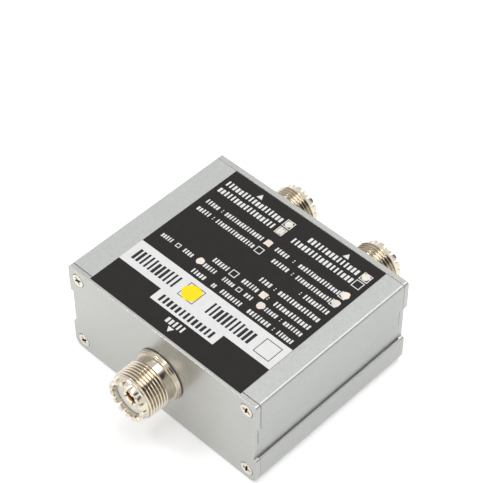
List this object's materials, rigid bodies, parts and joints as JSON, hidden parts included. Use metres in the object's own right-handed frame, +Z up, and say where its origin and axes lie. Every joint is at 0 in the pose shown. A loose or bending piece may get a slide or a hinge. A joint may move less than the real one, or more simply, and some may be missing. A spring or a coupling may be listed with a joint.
{
  "type": "antenna combiner",
  "caption": "Flat waisted aluminium box with end panels, a threaded coaxial socket at the front, a pair of them at the rear and a filter board inside.",
  "frame": {"origin": "middle of the case's underside, on the surface that it stands on", "axes": "+X to the right as seen from the front, +Y from the front panel to the rear panel, +Z up"},
  "size_m": [0.076, 0.0918, 0.0352],
  "materials": {
    "shell": "satin anodised extrusion",
    "panel": "satin anodised plate",
    "screw": "nickel plated",
    "nickel": "nickel plated brass",
    "insulator": "smooth white",
    "gold": "gold plated",
    "tinned_brass": "tinned sheet",
    "tinned_wire": "tinned copper wire",
    "board": "green solder mask",
    "coil_wire": "enamelled copper wire",
    "capacitor": "dipped, tan",
    "label": "printed film",
    "white_ink": "matt print",
    "black_ink": "matt print",
    "pale_paint": "matt paint",
    "yellow_paint": "matt paint"
  },
  "bodies": {
    "root": {"lower_shell": "shell", "upper_shell": "shell", "front_panel": "panel", "rear_panel": "panel", "front_panel_screws": "screw", "rear_panel_screws": "screw", "front_socket_body": "nickel", "front_socket_insulator": "insulator", "front_socket_contact": "gold", "front_socket_tag": "tinned_brass", "front_socket_nut": "nickel", "front_link_wire": "tinned_wire", "rear_left_socket_body": "nickel", "rear_left_socket_insulator": "insulator", "rear_left_socket_contact": "gold", "rear_left_socket_tag": "tinned_brass", "rear_left_socket_nut": "nickel", "rear_left_link_wire": "tinned_wire", "rear_right_socket_body": "nickel", "rear_right_socket_insulator": "insulator", "rear_right_socket_contact": "gold", "rear_right_socket_tag": "tinned_brass", "rear_right_socket_nut": "nickel", "rear_right_link_wire": "tinned_wire", "circuit_board": "board", "low_pass_coil_front": "coil_wire", "low_pass_coil_middle": "coil_wire", "low_pass_coil_rear": "coil_wire", "high_pass_coil_front": "coil_wire", "high_pass_coil_rear": "coil_wire", "low_pass_capacitors": "capacitor", "high_pass_capacitors": "capacitor", "label": "label", "label_white_print": "white_ink", "label_black_print": "black_ink", "label_pale_marks": "pale_paint", "label_yellow_mark": "yellow_paint"}
  },
  "joints": []
}
